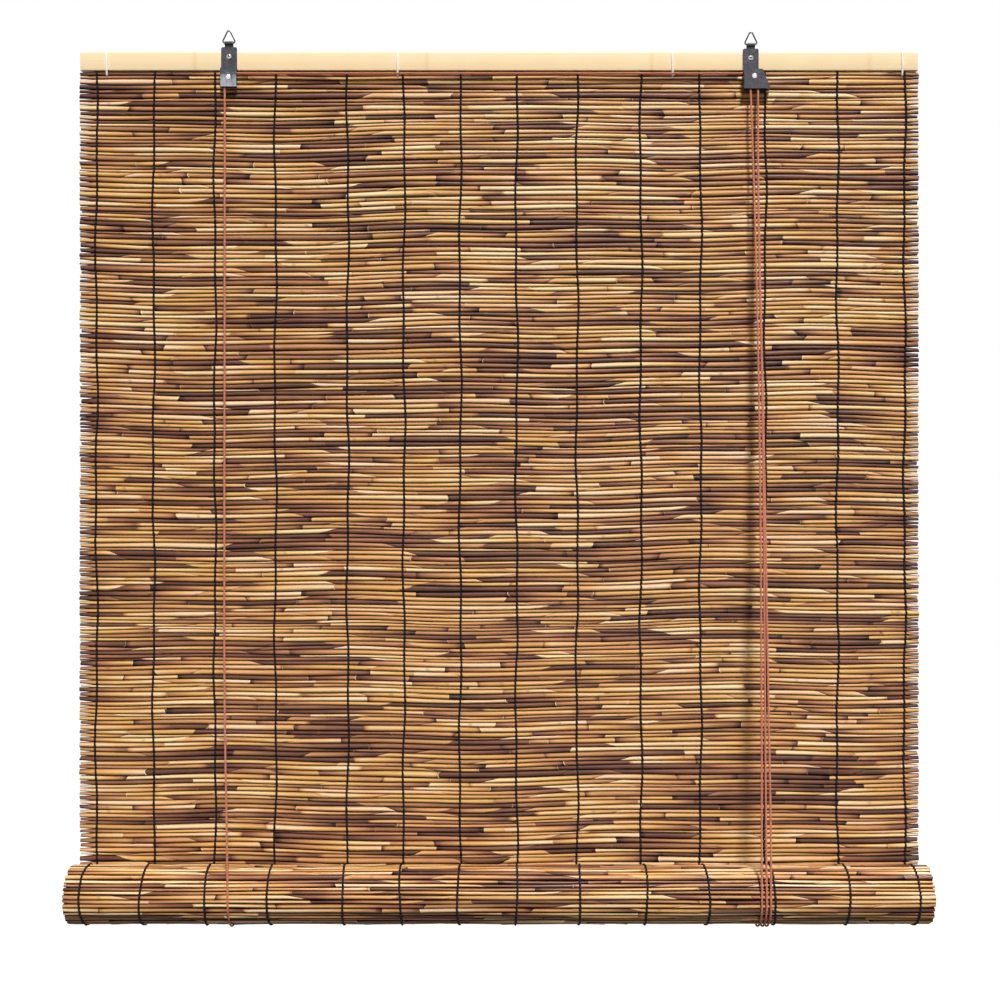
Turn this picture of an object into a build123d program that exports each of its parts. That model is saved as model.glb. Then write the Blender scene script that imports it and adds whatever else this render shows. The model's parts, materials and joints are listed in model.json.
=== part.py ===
from build123d import *
import math
import os

# Reed roll-up blind, hung by two rings, with the lower part of its mat rolled up in front.
# Millimetres. X runs along the head batten, -Y is the room side and +Z is up.
# The origin is the middle of the head batten's top face.

# Shared clearances
cut_overrun = 2.0          # how far a cutter reaches past the faces it cuts
soft_clearance = 0.3       # between a soft or loose piece and what it lies against
bore_clearance = 0.05      # radial, round pins, screws and staple legs

# Reed mat
mat_width = 1000.0
reed_diameter = 5.0
reed_pitch = 5.375
reed_rows = 180            # rows that hang below the batten
web_thickness = 2.2        # between two reeds, where they touch
crest_shares = (0.26, 0.74)  # where a reed's rounded top begins and ends, of the pitch
mat_top_gap = 2.0          # batten to first reed, where the warp threads pass
frayed_length = 20.0       # loose reed ends outside the last warp thread
frayed_gap = 1.5           # height of a gap between two loose reed ends
frayed_rows_step = 3       # one gap every so many rows

# Warp threads, twined round every reed
thread_width = 1.6
thread_thickness = 0.7
thread_clearance = 0.2
thread_tuck = 12.0         # front run ends this far above the roll's axis, behind the roll
warp_place_shares = (
    -0.480, -0.412, -0.339, -0.267, -0.181, -0.114, -0.047,
    0.020, 0.092, 0.168, 0.239, 0.316, 0.402, 0.482,
)

# Head batten
batten_inset = 2.0         # each end, inside the mat's edge
batten_height = 22.0
batten_thickness = 9.0
batten_edge_radius = 1.2
tie_width = 1.6
tie_thickness = 0.6
tie_place_shares = (-0.467, -0.121, 0.2055, 0.479)

# Roll
roll_radius = 33.0         # centre of the reeds in the outer turn
turn_pitch = 5.3
half_turns = 8
roll_inner_face = 1.8      # reed centre to the plain inner face of a turn
roll_thread_end_angle = 50.0

# Hangers
left_hanger_share = -0.321   # places along the mat's width
right_hanger_share = 0.299
right_hanger_drop = 1.8    # right hanger, screwed on lower than the left one
strap_width = 18.8
strap_thickness = 1.0
strap_corner_radius = 2.0
shoulder_rise = 5.5        # shoulder above the batten's top
neck_width = 10.2
eye_rise = 10.0            # eye centre above the batten's top
eye_sweep = 285.0
ring_wire = 1.8
ring_width = 16.6
ring_height = 15.0         # eye centre to the apex's centre line
ring_corner_radius = 2.2
screw_drop = 5.5           # below the batten's top
screw_head_radius = 2.9
screw_head_height = 1.8
screw_shank_radius = 1.5
screw_length = 7.5
screw_slot_width = 0.9     # of each arm of the crossed slot
screw_slot_length = 3.4
screw_slot_depth = 1.0

# Pulleys, their pins and housings
left_housing_drop = 20.5   # top edge of a housing below the batten's top
lock_drop = 23.1
pin_drop = 31.2
pin_radius = 1.2
pin_head_radius = 3.0
pin_head_height = 1.3
pin_tail_radius = 2.2
pin_tail_height = 0.7
cord_diameter = 2.4
pulley_radius = 4.7        # centre of the cord round the pulley
pulley_rim_radius = 5.4
pulley_wall = 0.6
pulley_middle_wall = 0.8
groove_width = 2.8
pulley_side_gap = 0.5
housing_thickness = 1.0
housing_bend_radius = 1.4
left_housing_width = 19.6
left_housing_height = 22.4
cord_notch = 3.8
lock_top_width = 21.7
lock_bottom_width = 31.5
lock_height = 23.1
lock_pin_inset = 12.3      # lock's left edge to its pin
lock_lip = 5.0             # bent in at the foot of the slanted wall
lock_roller_radius = 2.5
lock_roller_chamfer = 0.4
lock_roller_flutes = 9
lock_roller_flute_radius = 0.45

# Cords
left_sling_shift = 10.8    # sling to the left pulley's pin
right_sling_shift = -1.7   # these three, to the lock's pin
pull_a_shift = 8.6
pull_b_shift = 3.8
left_anchor_shift = -4.5   # knots behind the batten, to the same pins
right_anchor_shift = 1.8
staple_wire = 1.2
staple_drop = 12.0
staple_leg = 4.0
knot_radius = 2.9
knot_height = 5.5
tail_rise = 8.0
tie_wrap_height = 9.0
tie_wrap_wall = 1.3

# Derived places
cord_radius = cord_diameter / 2
reed_radius = reed_diameter / 2
batten_length = mat_width - 2 * batten_inset
batten_front = -batten_thickness / 2
batten_back = batten_thickness / 2
mat_top = -batten_height - mat_top_gap
mat_bottom = mat_top - reed_rows * reed_pitch
roll_axis_z = mat_bottom - soft_clearance
roll_axis_y = -roll_radius
roll_outer = roll_radius + reed_radius
strap_front = batten_front - strap_thickness
eye_inner = ring_wire / 2 + thread_clearance / 2
eye_outer = eye_inner + strap_thickness
eye_y = batten_front - eye_outer
pin_z = -pin_drop
pulley_back = strap_front - pulley_side_gap
rear_groove_y = pulley_back - pulley_wall - groove_width / 2
front_groove_y = rear_groove_y - groove_width - pulley_middle_wall
single_pulley_width = groove_width + 2 * pulley_wall
double_pulley_width = 2 * groove_width + pulley_middle_wall + 2 * pulley_wall
left_hanger_x = left_hanger_share * mat_width
right_hanger_x = right_hanger_share * mat_width
lock_left = right_hanger_x - strap_width / 2
lock_pin_x = lock_left + lock_pin_inset
left_pin_x = left_hanger_x
hangers = ((left_hanger_x, 0), (right_hanger_x, right_hanger_drop))
left_foot = -left_housing_drop - left_housing_height
lock_foot = -lock_drop - lock_height
sling_radius = roll_outer + soft_clearance + cord_radius
sling_front_y = roll_axis_y - sling_radius
sling_back_y = roll_axis_y + sling_radius
anchor_y = batten_back + soft_clearance + cord_radius
warp_places = [share * mat_width for share in warp_place_shares]
tie_places = [share * mat_width for share in tie_place_shares]


def block(x_span, y_span, z_span):
    spans = (x_span, y_span, z_span)
    middle = [(low + high) / 2 for low, high in spans]
    return Pos(*middle) * Box(*[abs(high - low) for low, high in spans])


def turned(profile, x, z):
    # Revolve a face drawn as radius and depth about a front-to-back axis.
    face = Pos(x, 0, z) * make_face(profile)
    return revolve(face, Axis((x, 0, z), (0, 1, 0)), 360)


def dome(radius, rim, crown):
    # Half section of a domed head, square to its axis at the crown.
    return TangentArc((0, crown), (radius, rim), tangent=(1, 0))


def slanted_rod(top, bottom, radius):
    # A straight cord whose two ends are level, so that it meets its neighbours face to face.
    run = Vector(*bottom) - Vector(*top)
    return extrude(Pos(*top) * Circle(radius), amount=run.length, dir=run.normalized())


def sling(x):
    # A cord's half turn under the roll, from its front to its back.
    section = Pos(x, sling_front_y, roll_axis_z) * Circle(cord_radius)
    return revolve(section, Axis((x, roll_axis_y, roll_axis_z), (1, 0, 0)), 180)


# Head batten


def make_batten():
    batten = block(
        (-batten_length / 2, batten_length / 2), (batten_front, batten_back), (-batten_height, 0)
    )
    batten = fillet(batten.edges().filter_by(Axis.X), batten_edge_radius)
    hole_radius = screw_shank_radius + bore_clearance
    depth = screw_length - strap_thickness + soft_clearance
    for x, drop in hangers:
        hole = Cylinder(hole_radius, depth, align=(Align.CENTER, Align.CENTER, Align.MIN))
        batten -= Pos(x, batten_front, -screw_drop - drop) * Rot(-90, 0, 0) * hole
    leg_radius = staple_wire / 2 + bore_clearance
    leg_depth = staple_leg + soft_clearance
    for x in anchor_places:
        for side in (-1, 1):
            hole = Cylinder(leg_radius, leg_depth, align=(Align.CENTER, Align.CENTER, Align.MIN))
            leg_x = x + side * staple_half_width
            batten -= Pos(leg_x, batten_back, -staple_drop) * Rot(90, 0, 0) * hole
    return batten


def make_tie(x):
    # Flat loop round the batten and the first reed, through the mat below that reed.
    inner_y = batten_thickness / 2 + thread_clearance
    top = thread_clearance
    bottom = mat_top - reed_pitch - tie_thickness / 2 + thread_clearance
    outer = block(
        (x - tie_width / 2, x + tie_width / 2),
        (-inner_y - tie_thickness, inner_y + tie_thickness),
        (bottom - thread_clearance, top + tie_thickness),
    )
    opening = block(
        (x - tie_width, x + tie_width),
        (-inner_y, inner_y),
        (bottom - thread_clearance + tie_thickness, top),
    )
    return outer - opening


# Reed mat and warp threads


def ridge_points(row_start, side):
    # One side of a reed's section as depth and height: a valley and the two edges of its crest.
    valley = (side * web_thickness / 2, row_start)
    crest = [(side * reed_radius, row_start - share * reed_pitch) for share in crest_shares]
    return [valley, *crest]


def make_mat():
    rows = [mat_top - row * reed_pitch for row in range(reed_rows)]
    front = [point for start in rows for point in ridge_points(start, -1)]
    back = [point for start in rows for point in ridge_points(start, 1)]
    front.append((-web_thickness / 2, mat_bottom))
    back.append((web_thickness / 2, mat_bottom))
    section = make_face(Plane.YZ * Polyline(*front, *reversed(back), close=True))
    mat = extrude(section, mat_width / 2, both=True)

    through_y = (-reed_diameter, reed_diameter)
    cutters = []
    for row in range(frayed_rows_step, reed_rows, frayed_rows_step):
        valley = mat_top - row * reed_pitch
        span_z = (valley - frayed_gap / 2, valley + frayed_gap / 2)
        for side in (-1, 1):
            span_x = (side * (mat_width / 2 - frayed_length), side * (mat_width / 2 + cut_overrun))
            cutters.append(block(span_x, through_y, span_z))
    tie_z = mat_top - reed_pitch
    tie_room = tie_thickness / 2 + thread_clearance
    for x in tie_places:
        span_x = (x - tie_width / 2 - thread_clearance, x + tie_width / 2 + thread_clearance)
        cutters.append(block(span_x, through_y, (tie_z - tie_room, tie_z + tie_room)))
    return mat - cutters


def make_warp_thread(x):
    # Front run, a bend over the first reed and a back run.
    inner = reed_radius + thread_clearance
    outer = inner + thread_thickness
    crown = mat_top + thread_clearance
    spine = block(
        (x - thread_width / 2, x + thread_width / 2),
        (-outer, outer),
        (mat_bottom, crown + thread_thickness),
    )
    mat_room = block(
        (x - thread_width, x + thread_width), (-inner, inner), (mat_bottom - cut_overrun, crown)
    )
    roll_room = block(
        (x - thread_width, x + thread_width),
        (-outer - cut_overrun, 0),
        (mat_bottom - cut_overrun, roll_axis_z + thread_tuck),
    )
    return spine - [mat_room, roll_room]


# Roll


def roll_centre(half_turn):
    # Half turns take turns about two centres, so the coil winds in and stays smooth.
    shift = turn_pitch / 2 if half_turn % 2 else 0
    return roll_axis_y - shift, roll_radius - half_turn * turn_pitch / 2


def roll_point(travel, offset):
    # The point at an arc length along the coil, moved out from the reeds' centre line.
    half_turn = 0
    centre_y, radius = roll_centre(half_turn)
    while travel > math.pi * radius and half_turn < half_turns - 1:
        travel -= math.pi * radius
        half_turn += 1
        centre_y, radius = roll_centre(half_turn)
    angle = half_turn * math.pi + travel / radius
    reach = radius + offset
    return centre_y + reach * math.cos(angle), roll_axis_z - reach * math.sin(angle)


coil_length = sum(math.pi * roll_centre(turn)[1] for turn in range(half_turns))
outer_turn_length = sum(math.pi * roll_centre(turn)[1] for turn in range(2))


def make_roll():
    outside, inside = [], []
    for row in range(int(coil_length / reed_pitch)):
        start = row * reed_pitch
        inside.append(roll_point(start, -roll_inner_face))
        if start < outer_turn_length:
            outside.append(roll_point(start, web_thickness / 2))
            outside += [roll_point(start + share * reed_pitch, reed_radius) for share in crest_shares]
        else:
            outside.append(roll_point(start, reed_radius))
    section = make_face(Plane.YZ * Polyline(*outside, *reversed(inside), close=True))
    return extrude(section, mat_width / 2, both=True)


def thread_band(half_turn, start_angle, sweep):
    centre_y, radius = roll_centre(half_turn)
    inner = radius + reed_radius + thread_clearance
    centre = (centre_y, roll_axis_z)
    outer_arc = CenterArc(centre, inner + thread_thickness, start_angle, sweep)
    inner_arc = CenterArc(centre, inner, start_angle, sweep)
    ends = [Line(outer_arc @ 0, inner_arc @ 0), Line(outer_arc @ 1, inner_arc @ 1)]
    return make_face([Plane.YZ * edge for edge in (outer_arc, inner_arc, *ends)])


def make_roll_threads():
    # One band round the outer turn for each warp thread.
    lower = thread_band(0, 180, 180)
    upper = thread_band(1, roll_thread_end_angle, 180 - roll_thread_end_angle)
    band = extrude(lower, thread_width / 2, both=True) + extrude(upper, thread_width / 2, both=True)
    return Compound(children=[Pos(x, 0, 0) * band for x in warp_places])


# Hangers


def strap_outline(x, drop, foot):
    # Neck and shoulders, down to the foot of the pulley's housing.
    neck = Rectangle(neck_width, eye_rise - shoulder_rise, align=(Align.CENTER, Align.MIN))
    shoulder = shoulder_rise - drop
    plate = Rectangle(strap_width, shoulder - foot, align=(Align.CENTER, Align.MAX))
    plate = fillet(plate.vertices().group_by(Axis.Y)[-1], strap_corner_radius)
    return Pos(x, shoulder) * (plate + neck)


def lock_outline():
    # The lock widens downwards on its right, which makes the wedge that its roller runs in.
    corners = (
        (lock_left, -lock_drop),
        (lock_left + lock_top_width, -lock_drop),
        (lock_left + lock_bottom_width, lock_foot),
        (lock_left, lock_foot),
    )
    return make_face(Polyline(*corners, close=True))


def make_eye(x, drop):
    centre = (eye_y, eye_rise - drop)
    outer_arc = CenterArc(centre, eye_outer, 0, eye_sweep)
    inner_arc = CenterArc(centre, eye_inner, 0, eye_sweep)
    ends = [Line(outer_arc @ 0, inner_arc @ 0), Line(outer_arc @ 1, inner_arc @ 1)]
    curl = make_face([Plane.YZ * edge for edge in (outer_arc, inner_arc, *ends)])
    return Pos(x, 0, 0) * extrude(curl, neck_width / 2, both=True)


def front_hole(x, z, radius):
    reach = strap_front - lock_front + cut_overrun
    return Pos(x, strap_front, z) * Rot(90, 0, 0) * Cylinder(radius, 2 * reach)


def make_strap(x, drop, pin_x, outline):
    strap = Pos(0, batten_front, 0) * extrude(Plane.XZ * outline, strap_thickness)
    strap += make_eye(x, drop)
    strap -= front_hole(x, -screw_drop - drop, screw_shank_radius + bore_clearance)
    return strap - front_hole(pin_x, pin_z, pin_radius + bore_clearance)


def make_ring(x, drop):
    foot = eye_rise - drop
    corners = (
        (x - ring_width / 2, foot),
        (x, foot + ring_height + ring_corner_radius),
        (x + ring_width / 2, foot),
    )
    path = Plane.XZ * FilletPolyline(*corners, radius=ring_corner_radius, close=True)
    path = Pos(0, eye_y, 0) * path
    section = Plane(path @ 0, z_dir=path % 0) * Circle(ring_wire / 2)
    return sweep(section, path)


def make_screw(x, drop):
    # Domed head with a crossed slot.
    z = -screw_drop - drop
    tip = batten_front + screw_length - strap_thickness
    crown = strap_front - screw_head_height
    shoulder = strap_front - screw_head_height / 3
    profile = [
        Polyline(
            (0, crown),
            (0, tip),
            (screw_shank_radius / 2, tip),
            (screw_shank_radius, tip - screw_shank_radius),
            (screw_shank_radius, strap_front),
            (screw_head_radius, strap_front),
            (screw_head_radius, shoulder),
        ),
        dome(screw_head_radius, shoulder, crown),
    ]
    screw = turned(profile, x, z)
    for width, length in (
        (screw_slot_width, screw_slot_length),
        (screw_slot_length, screw_slot_width),
    ):
        screw -= block(
            (x - width / 2, x + width / 2),
            (crown - cut_overrun, crown + screw_slot_depth),
            (z - length / 2, z + length / 2),
        )
    return screw


# Pulleys, pins and housings


def make_pulley(x, groove_places):
    width = 2 * (pulley_wall + groove_width / 2) + abs(groove_places[-1] - groove_places[0])
    bore = pin_radius + bore_clearance
    floor = pulley_radius - cord_radius - soft_clearance
    edges = []
    corner = (pulley_rim_radius, pulley_back)
    for groove in groove_places:
        near = (pulley_rim_radius, groove + groove_width / 2)
        far = (pulley_rim_radius, groove - groove_width / 2)
        edges += [Line(corner, near), ThreePointArc(near, (floor, groove), far)]
        corner = far
    front = pulley_back - width
    edges.append(
        Polyline(
            corner,
            (pulley_rim_radius, front),
            (bore, front),
            (bore, pulley_back),
            (pulley_rim_radius, pulley_back),
        )
    )
    return turned(edges, x, pin_z)


def make_pin(x, housing_front):
    # Rivet: a plain tail behind the strap and a domed head on the housing.
    tail = batten_front + pin_tail_height
    crown = housing_front - pin_head_height
    profile = [
        Polyline(
            (0, crown),
            (0, tail),
            (pin_tail_radius, tail),
            (pin_tail_radius, batten_front),
            (pin_radius, batten_front),
            (pin_radius, housing_front),
            (pin_head_radius, housing_front),
        ),
        dome(pin_head_radius, housing_front, crown),
    ]
    return turned(profile, x, pin_z)


left_housing_front = pulley_back - single_pulley_width - pulley_side_gap - housing_thickness
lock_front = pulley_back - double_pulley_width - pulley_side_gap - housing_thickness


def cord_way(x, top):
    # Notch in a side wall for the cord that crosses between the hangers.
    cord_z = pin_z + pulley_radius
    return block(
        (x - cut_overrun, x + cut_overrun),
        (rear_groove_y - cord_notch / 2, rear_groove_y + cord_notch / 2),
        (cord_z - cord_notch / 2, top + cut_overrun),
    )


def make_left_housing():
    # Channel with two side walls folded back on the strap.
    half = left_housing_width / 2
    channel = block(
        (left_pin_x - half, left_pin_x + half),
        (left_housing_front, strap_front),
        (left_foot, -left_housing_drop),
    )
    bends = channel.edges().filter_by(Axis.Z).group_by(Axis.Y)[0]
    channel = fillet(bends, housing_bend_radius)
    room = block(
        (left_pin_x - half + housing_thickness, left_pin_x + half - housing_thickness),
        (left_housing_front + housing_thickness, strap_front + cut_overrun),
        (left_foot - cut_overrun, -left_housing_drop + cut_overrun),
    )
    channel -= room
    channel -= cord_way(left_pin_x + half, -left_housing_drop)
    return channel - front_hole(left_pin_x, pin_z, pin_radius + bore_clearance)


def wedge_point(drop, inset):
    # A point at a depth below the lock's top, measured in from its slanted wall.
    lean = (lock_bottom_width - lock_top_width) / lock_height
    skew = math.sqrt(1 + lean * lean)
    return lock_left + lock_top_width + lean * drop - inset * skew, -lock_drop - drop


def make_lock_housing():
    # Front plate with a straight left wall, a slanted right wall and a lip that holds the roller.
    depth = strap_front - lock_front
    shell = Pos(0, strap_front, 0) * extrude(Plane.XZ * lock_outline(), depth)
    room_corners = (
        (lock_left + housing_thickness, -lock_drop + cut_overrun),
        wedge_point(-cut_overrun, housing_thickness),
        wedge_point(lock_height - housing_thickness, housing_thickness),
        (
            wedge_point(lock_height - housing_thickness, housing_thickness + lock_lip)[0],
            lock_foot + housing_thickness,
        ),
        (
            wedge_point(lock_height - housing_thickness, housing_thickness + lock_lip)[0],
            lock_foot - cut_overrun,
        ),
        (lock_left + housing_thickness, lock_foot - cut_overrun),
    )
    room = extrude(Plane.XZ * make_face(Polyline(*room_corners, close=True)), depth + cut_overrun)
    shell -= Pos(0, strap_front + housing_thickness + cut_overrun, 0) * room
    shell -= cord_way(lock_left, -lock_drop)
    return shell - front_hole(lock_pin_x, pin_z, pin_radius + bore_clearance)


def roller_place():
    # Where the roller just clears both the pull cords and the slanted wall.
    x = lock_pin_x + pulley_radius + cord_radius + soft_clearance + lock_roller_radius
    inset = housing_thickness + soft_clearance + lock_roller_radius
    lean = (lock_bottom_width - lock_top_width) / lock_height
    drop = (x - wedge_point(0, inset)[0]) / lean
    return x, -lock_drop - drop


def make_lock_roller():
    x, z = roller_place()
    roller = Cylinder(lock_roller_radius, double_pulley_width)
    roller = chamfer(roller.edges(), lock_roller_chamfer)
    flute = Pos(lock_roller_radius, 0, 0) * Cylinder(
        lock_roller_flute_radius, double_pulley_width + cut_overrun
    )
    for turn in range(lock_roller_flutes):
        roller -= Rot(0, 0, 360 * turn / lock_roller_flutes) * flute
    return Pos(x, pulley_back - double_pulley_width / 2, z) * Rot(90, 0, 0) * roller


# Cords


def make_crossover():
    # Up round the left pulley, straight across, and over the lock's pulley.
    top = pin_z + pulley_radius
    path = Wire(
        [
            CenterArc((left_pin_x, pin_z), pulley_radius, 180, -90).edge(),
            Line((left_pin_x, top), (lock_pin_x, top)).edge(),
            CenterArc((lock_pin_x, pin_z), pulley_radius, 90, -90).edge(),
        ]
    )
    path = Pos(0, rear_groove_y, 0) * (Plane.XZ * path)
    section = Pos(left_pin_x - pulley_radius, rear_groove_y, pin_z) * Circle(cord_radius)
    return sweep(section, path)


def make_lock_loop():
    # The right lift cord's half turn over the lock's pulley.
    section = Pos(lock_pin_x - pulley_radius, front_groove_y, pin_z) * Circle(cord_radius)
    return revolve(section, Axis((lock_pin_x, front_groove_y, pin_z), (0, 1, 0)), 180)


def make_back_cord(anchor_x, sling_x):
    # From the knot over the staple, down behind the mat, to the sling.
    top = (anchor_x, anchor_y, knot_floor)
    return slanted_rod(top, (sling_x, sling_back_y, roll_axis_z), cord_radius)


staple_half_width = cord_radius + thread_clearance + staple_wire / 2
knot_floor = -staple_drop + staple_wire / 2 + thread_clearance
anchor_places = (left_pin_x + left_anchor_shift, lock_pin_x + right_anchor_shift)


def make_staple(x):
    reach = anchor_y + cord_radius + thread_clearance + staple_wire / 2
    route = FilletPolyline(
        (x - staple_half_width, batten_back - staple_leg),
        (x - staple_half_width, reach),
        (x + staple_half_width, reach),
        (x + staple_half_width, batten_back - staple_leg),
        radius=staple_wire,
    )
    path = Pos(0, 0, -staple_drop) * route
    section = Plane(path @ 0, z_dir=path % 0) * Circle(staple_wire / 2)
    return sweep(section, path)


def make_knot(x):
    # Stopper knot above the staple, held clear of the batten's face.
    barrel = Cylinder(knot_radius, knot_height, align=(Align.CENTER, Align.CENTER, Align.MIN))
    barrel = fillet(barrel.edges(), knot_height / 3)
    y = batten_back + soft_clearance + knot_radius
    return Pos(x, y, knot_floor) * barrel


def make_tail(x):
    # Pull cord's end: under the roll and up behind it, into the binding.
    top = roll_axis_z + tail_rise
    rise = slanted_rod((x, sling_back_y, top), (x, sling_back_y, roll_axis_z), cord_radius)
    return sling(x) + rise


def make_binding():
    # Whipping that ties both pull cords to the right lift cord behind the roll.
    first, last = right_sling_x, pull_a_x
    thickness = cord_diameter + 2 * tie_wrap_wall
    band = SlotCenterToCenter(last - first, thickness)
    y = reed_radius + soft_clearance + thickness / 2
    binding = extrude(Pos((first + last) / 2, y, roll_axis_z + tail_rise) * band, tie_wrap_height)
    hole_top = roll_axis_z + tail_rise + tie_wrap_height + cut_overrun
    way = slanted_rod(
        (first, sling_back_y, hole_top),
        (first, sling_back_y, roll_axis_z + tail_rise - cut_overrun),
        cord_radius + thread_clearance,
    )
    return binding - way


left_sling_x = left_pin_x + left_sling_shift
right_sling_x = lock_pin_x + right_sling_shift
pull_a_x = lock_pin_x + pull_a_shift
pull_b_x = lock_pin_x + pull_b_shift


def front_cord(top_x, groove_y, sling_x):
    # Taut from a pulley down to the front of the roll.
    return slanted_rod(
        (top_x, groove_y, pin_z), (sling_x, sling_front_y, roll_axis_z), cord_radius
    )


nodes = {
    "head_batten": make_batten(),
    "reed_mat": make_mat(),
    "reed_roll": make_roll(),
    "roll_threads": make_roll_threads(),
    "left_hanger_strap": make_strap(
        *hangers[0], left_pin_x, strap_outline(*hangers[0], left_foot)
    ),
    "right_hanger_strap": make_strap(
        *hangers[1], lock_pin_x, strap_outline(*hangers[1], lock_foot) + lock_outline()
    ),
    "left_hang_ring": make_ring(*hangers[0]),
    "right_hang_ring": make_ring(*hangers[1]),
    "left_strap_screw": make_screw(*hangers[0]),
    "right_strap_screw": make_screw(*hangers[1]),
    "left_pulley_housing": make_left_housing(),
    "lock_housing": make_lock_housing(),
    "left_pulley": make_pulley(left_pin_x, (rear_groove_y,)),
    "lock_pulley": make_pulley(lock_pin_x, (rear_groove_y, front_groove_y)),
    "left_pulley_pin": make_pin(left_pin_x, left_housing_front),
    "lock_pulley_pin": make_pin(lock_pin_x, lock_front),
    "lock_roller": make_lock_roller(),
    "crossover_cord": make_crossover(),
    "lock_cord_loop": make_lock_loop(),
    "left_lift_cord": front_cord(left_pin_x - pulley_radius, rear_groove_y, left_sling_x),
    "right_lift_cord": front_cord(lock_pin_x - pulley_radius, front_groove_y, right_sling_x),
    "pull_cord_a": front_cord(lock_pin_x + pulley_radius, rear_groove_y, pull_a_x),
    "pull_cord_b": front_cord(lock_pin_x + pulley_radius, front_groove_y, pull_b_x),
    "left_sling": sling(left_sling_x),
    "right_sling": sling(right_sling_x),
    "pull_tail_a": make_tail(pull_a_x),
    "pull_tail_b": make_tail(pull_b_x),
    "pull_cord_binding": make_binding(),
    "left_back_cord": make_back_cord(anchor_places[0], left_sling_x),
    "right_back_cord": make_back_cord(anchor_places[1], right_sling_x),
    "left_cord_staple": make_staple(anchor_places[0]),
    "right_cord_staple": make_staple(anchor_places[1]),
    "left_cord_knot": make_knot(anchor_places[0]),
    "right_cord_knot": make_knot(anchor_places[1]),
}
for number, place in enumerate(tie_places, 1):
    nodes[f"head_tie_{number}"] = make_tie(place)
for number, place in enumerate(warp_places, 1):
    nodes[f"warp_thread_{number:02d}"] = make_warp_thread(place)

os.makedirs("parts", exist_ok=True)
for name, shape in nodes.items():
    export_step(shape, f"parts/{name}.step")
print(f"{len(nodes)} nodes, roll axis at y {roll_axis_y:.2f} and z {roll_axis_z:.2f}")
print(f"eye at y {eye_y:.2f}, roller at {roller_place()}, coil {coil_length:.0f} long")
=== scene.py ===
import json
import math
import bpy
import numpy as np
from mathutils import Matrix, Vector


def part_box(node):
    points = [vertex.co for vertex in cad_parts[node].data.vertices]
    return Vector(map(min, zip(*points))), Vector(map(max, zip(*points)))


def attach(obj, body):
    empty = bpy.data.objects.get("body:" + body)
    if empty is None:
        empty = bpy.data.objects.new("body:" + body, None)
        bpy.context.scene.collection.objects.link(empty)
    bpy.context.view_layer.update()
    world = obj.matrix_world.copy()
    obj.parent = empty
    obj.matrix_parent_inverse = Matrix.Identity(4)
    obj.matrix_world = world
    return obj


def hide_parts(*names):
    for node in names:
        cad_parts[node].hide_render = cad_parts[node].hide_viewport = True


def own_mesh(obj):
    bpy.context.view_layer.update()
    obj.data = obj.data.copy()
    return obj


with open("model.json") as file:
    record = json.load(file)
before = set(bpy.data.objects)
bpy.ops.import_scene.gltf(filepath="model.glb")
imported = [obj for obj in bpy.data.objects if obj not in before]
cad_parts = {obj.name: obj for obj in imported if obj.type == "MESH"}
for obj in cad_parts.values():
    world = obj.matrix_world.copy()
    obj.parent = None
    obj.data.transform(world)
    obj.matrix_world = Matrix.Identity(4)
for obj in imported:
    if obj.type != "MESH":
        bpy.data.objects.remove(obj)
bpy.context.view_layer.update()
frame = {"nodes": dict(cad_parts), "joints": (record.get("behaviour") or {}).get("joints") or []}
nodes = frame["nodes"]
joints = {joint["name"]: joint for joint in frame["joints"]}
draw = np.random.default_rng(417)  # every random choice below comes from here, in order
print("frame loaded:", len(nodes), "nodes")


# Small helpers

def colour(red, green, blue):  # screen colour, 0 to 255, as a linear colour
    channels = []
    for level in (red / 255, green / 255, blue / 255):
        channels.append(level / 12.92 if level <= 0.04045 else ((level + 0.055) / 1.055) ** 2.4)
    return (*channels, 1.0)


def smooth(share):
    share = np.clip(share, 0.0, 1.0)
    return share * share * (3 - 2 * share)


def middle(node):
    low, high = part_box(node)
    return (low + high) / 2


# Camera, at the height of the mat's middle and square to it

cameraPlace = {"lens": 50.0, "sensor": 36.0, "x": 0.0010, "y": -1.656, "z": -0.5327}


def placeCamera():
    lens = bpy.data.cameras.new("camera")
    lens.lens = cameraPlace["lens"]
    lens.sensor_width = cameraPlace["sensor"]
    camera = bpy.data.objects.new("camera", lens)
    camera.location = (cameraPlace["x"], cameraPlace["y"], cameraPlace["z"])
    camera.rotation_euler = (math.radians(90), 0, 0)
    bpy.context.scene.collection.objects.link(camera)
    bpy.context.scene.camera = camera


placeCamera()
print("camera placed")


# Shader node helpers and shared groups

def newMaterial(name):
    material = bpy.data.materials.new(name)
    material.use_nodes = True
    tree = material.node_tree
    return material, tree, tree.nodes["Principled BSDF"]


def addNode(tree, kind, **settings):
    node = tree.nodes.new(kind)
    for key, value in settings.items():
        setattr(node, key, value)
    return node


def plug(tree, value, socket):  # a socket gets a value, or a link from another socket
    if isinstance(value, bpy.types.NodeSocket):
        tree.links.new(value, socket)
    else:
        socket.default_value = value


def feed(tree, node, **sockets):
    for key, value in sockets.items():
        plug(tree, value, node.inputs[key.replace("_", " ")])
    return node


def math2(tree, operation, first, second=0.0):
    node = addNode(tree, "ShaderNodeMath", operation=operation)
    plug(tree, first, node.inputs[0])
    plug(tree, second, node.inputs[1])
    return node.outputs[0]


def ramp(tree, value, stops):
    node = addNode(tree, "ShaderNodeValToRGB")
    elements = node.color_ramp.elements
    while len(elements) < len(stops):
        elements.new(0.5)
    for element, (place, shade) in zip(elements, stops):
        element.position = place
        element.color = shade
    tree.links.new(value, node.inputs["Fac"])
    return node.outputs["Color"]


def mix(tree, share, first, second, blend="MIX"):
    node = addNode(tree, "ShaderNodeMix", data_type="RGBA", blend_type=blend)
    for index, value in ((0, share), (6, first), (7, second)):
        plug(tree, value, node.inputs[index])
    return node.outputs[2]


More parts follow.
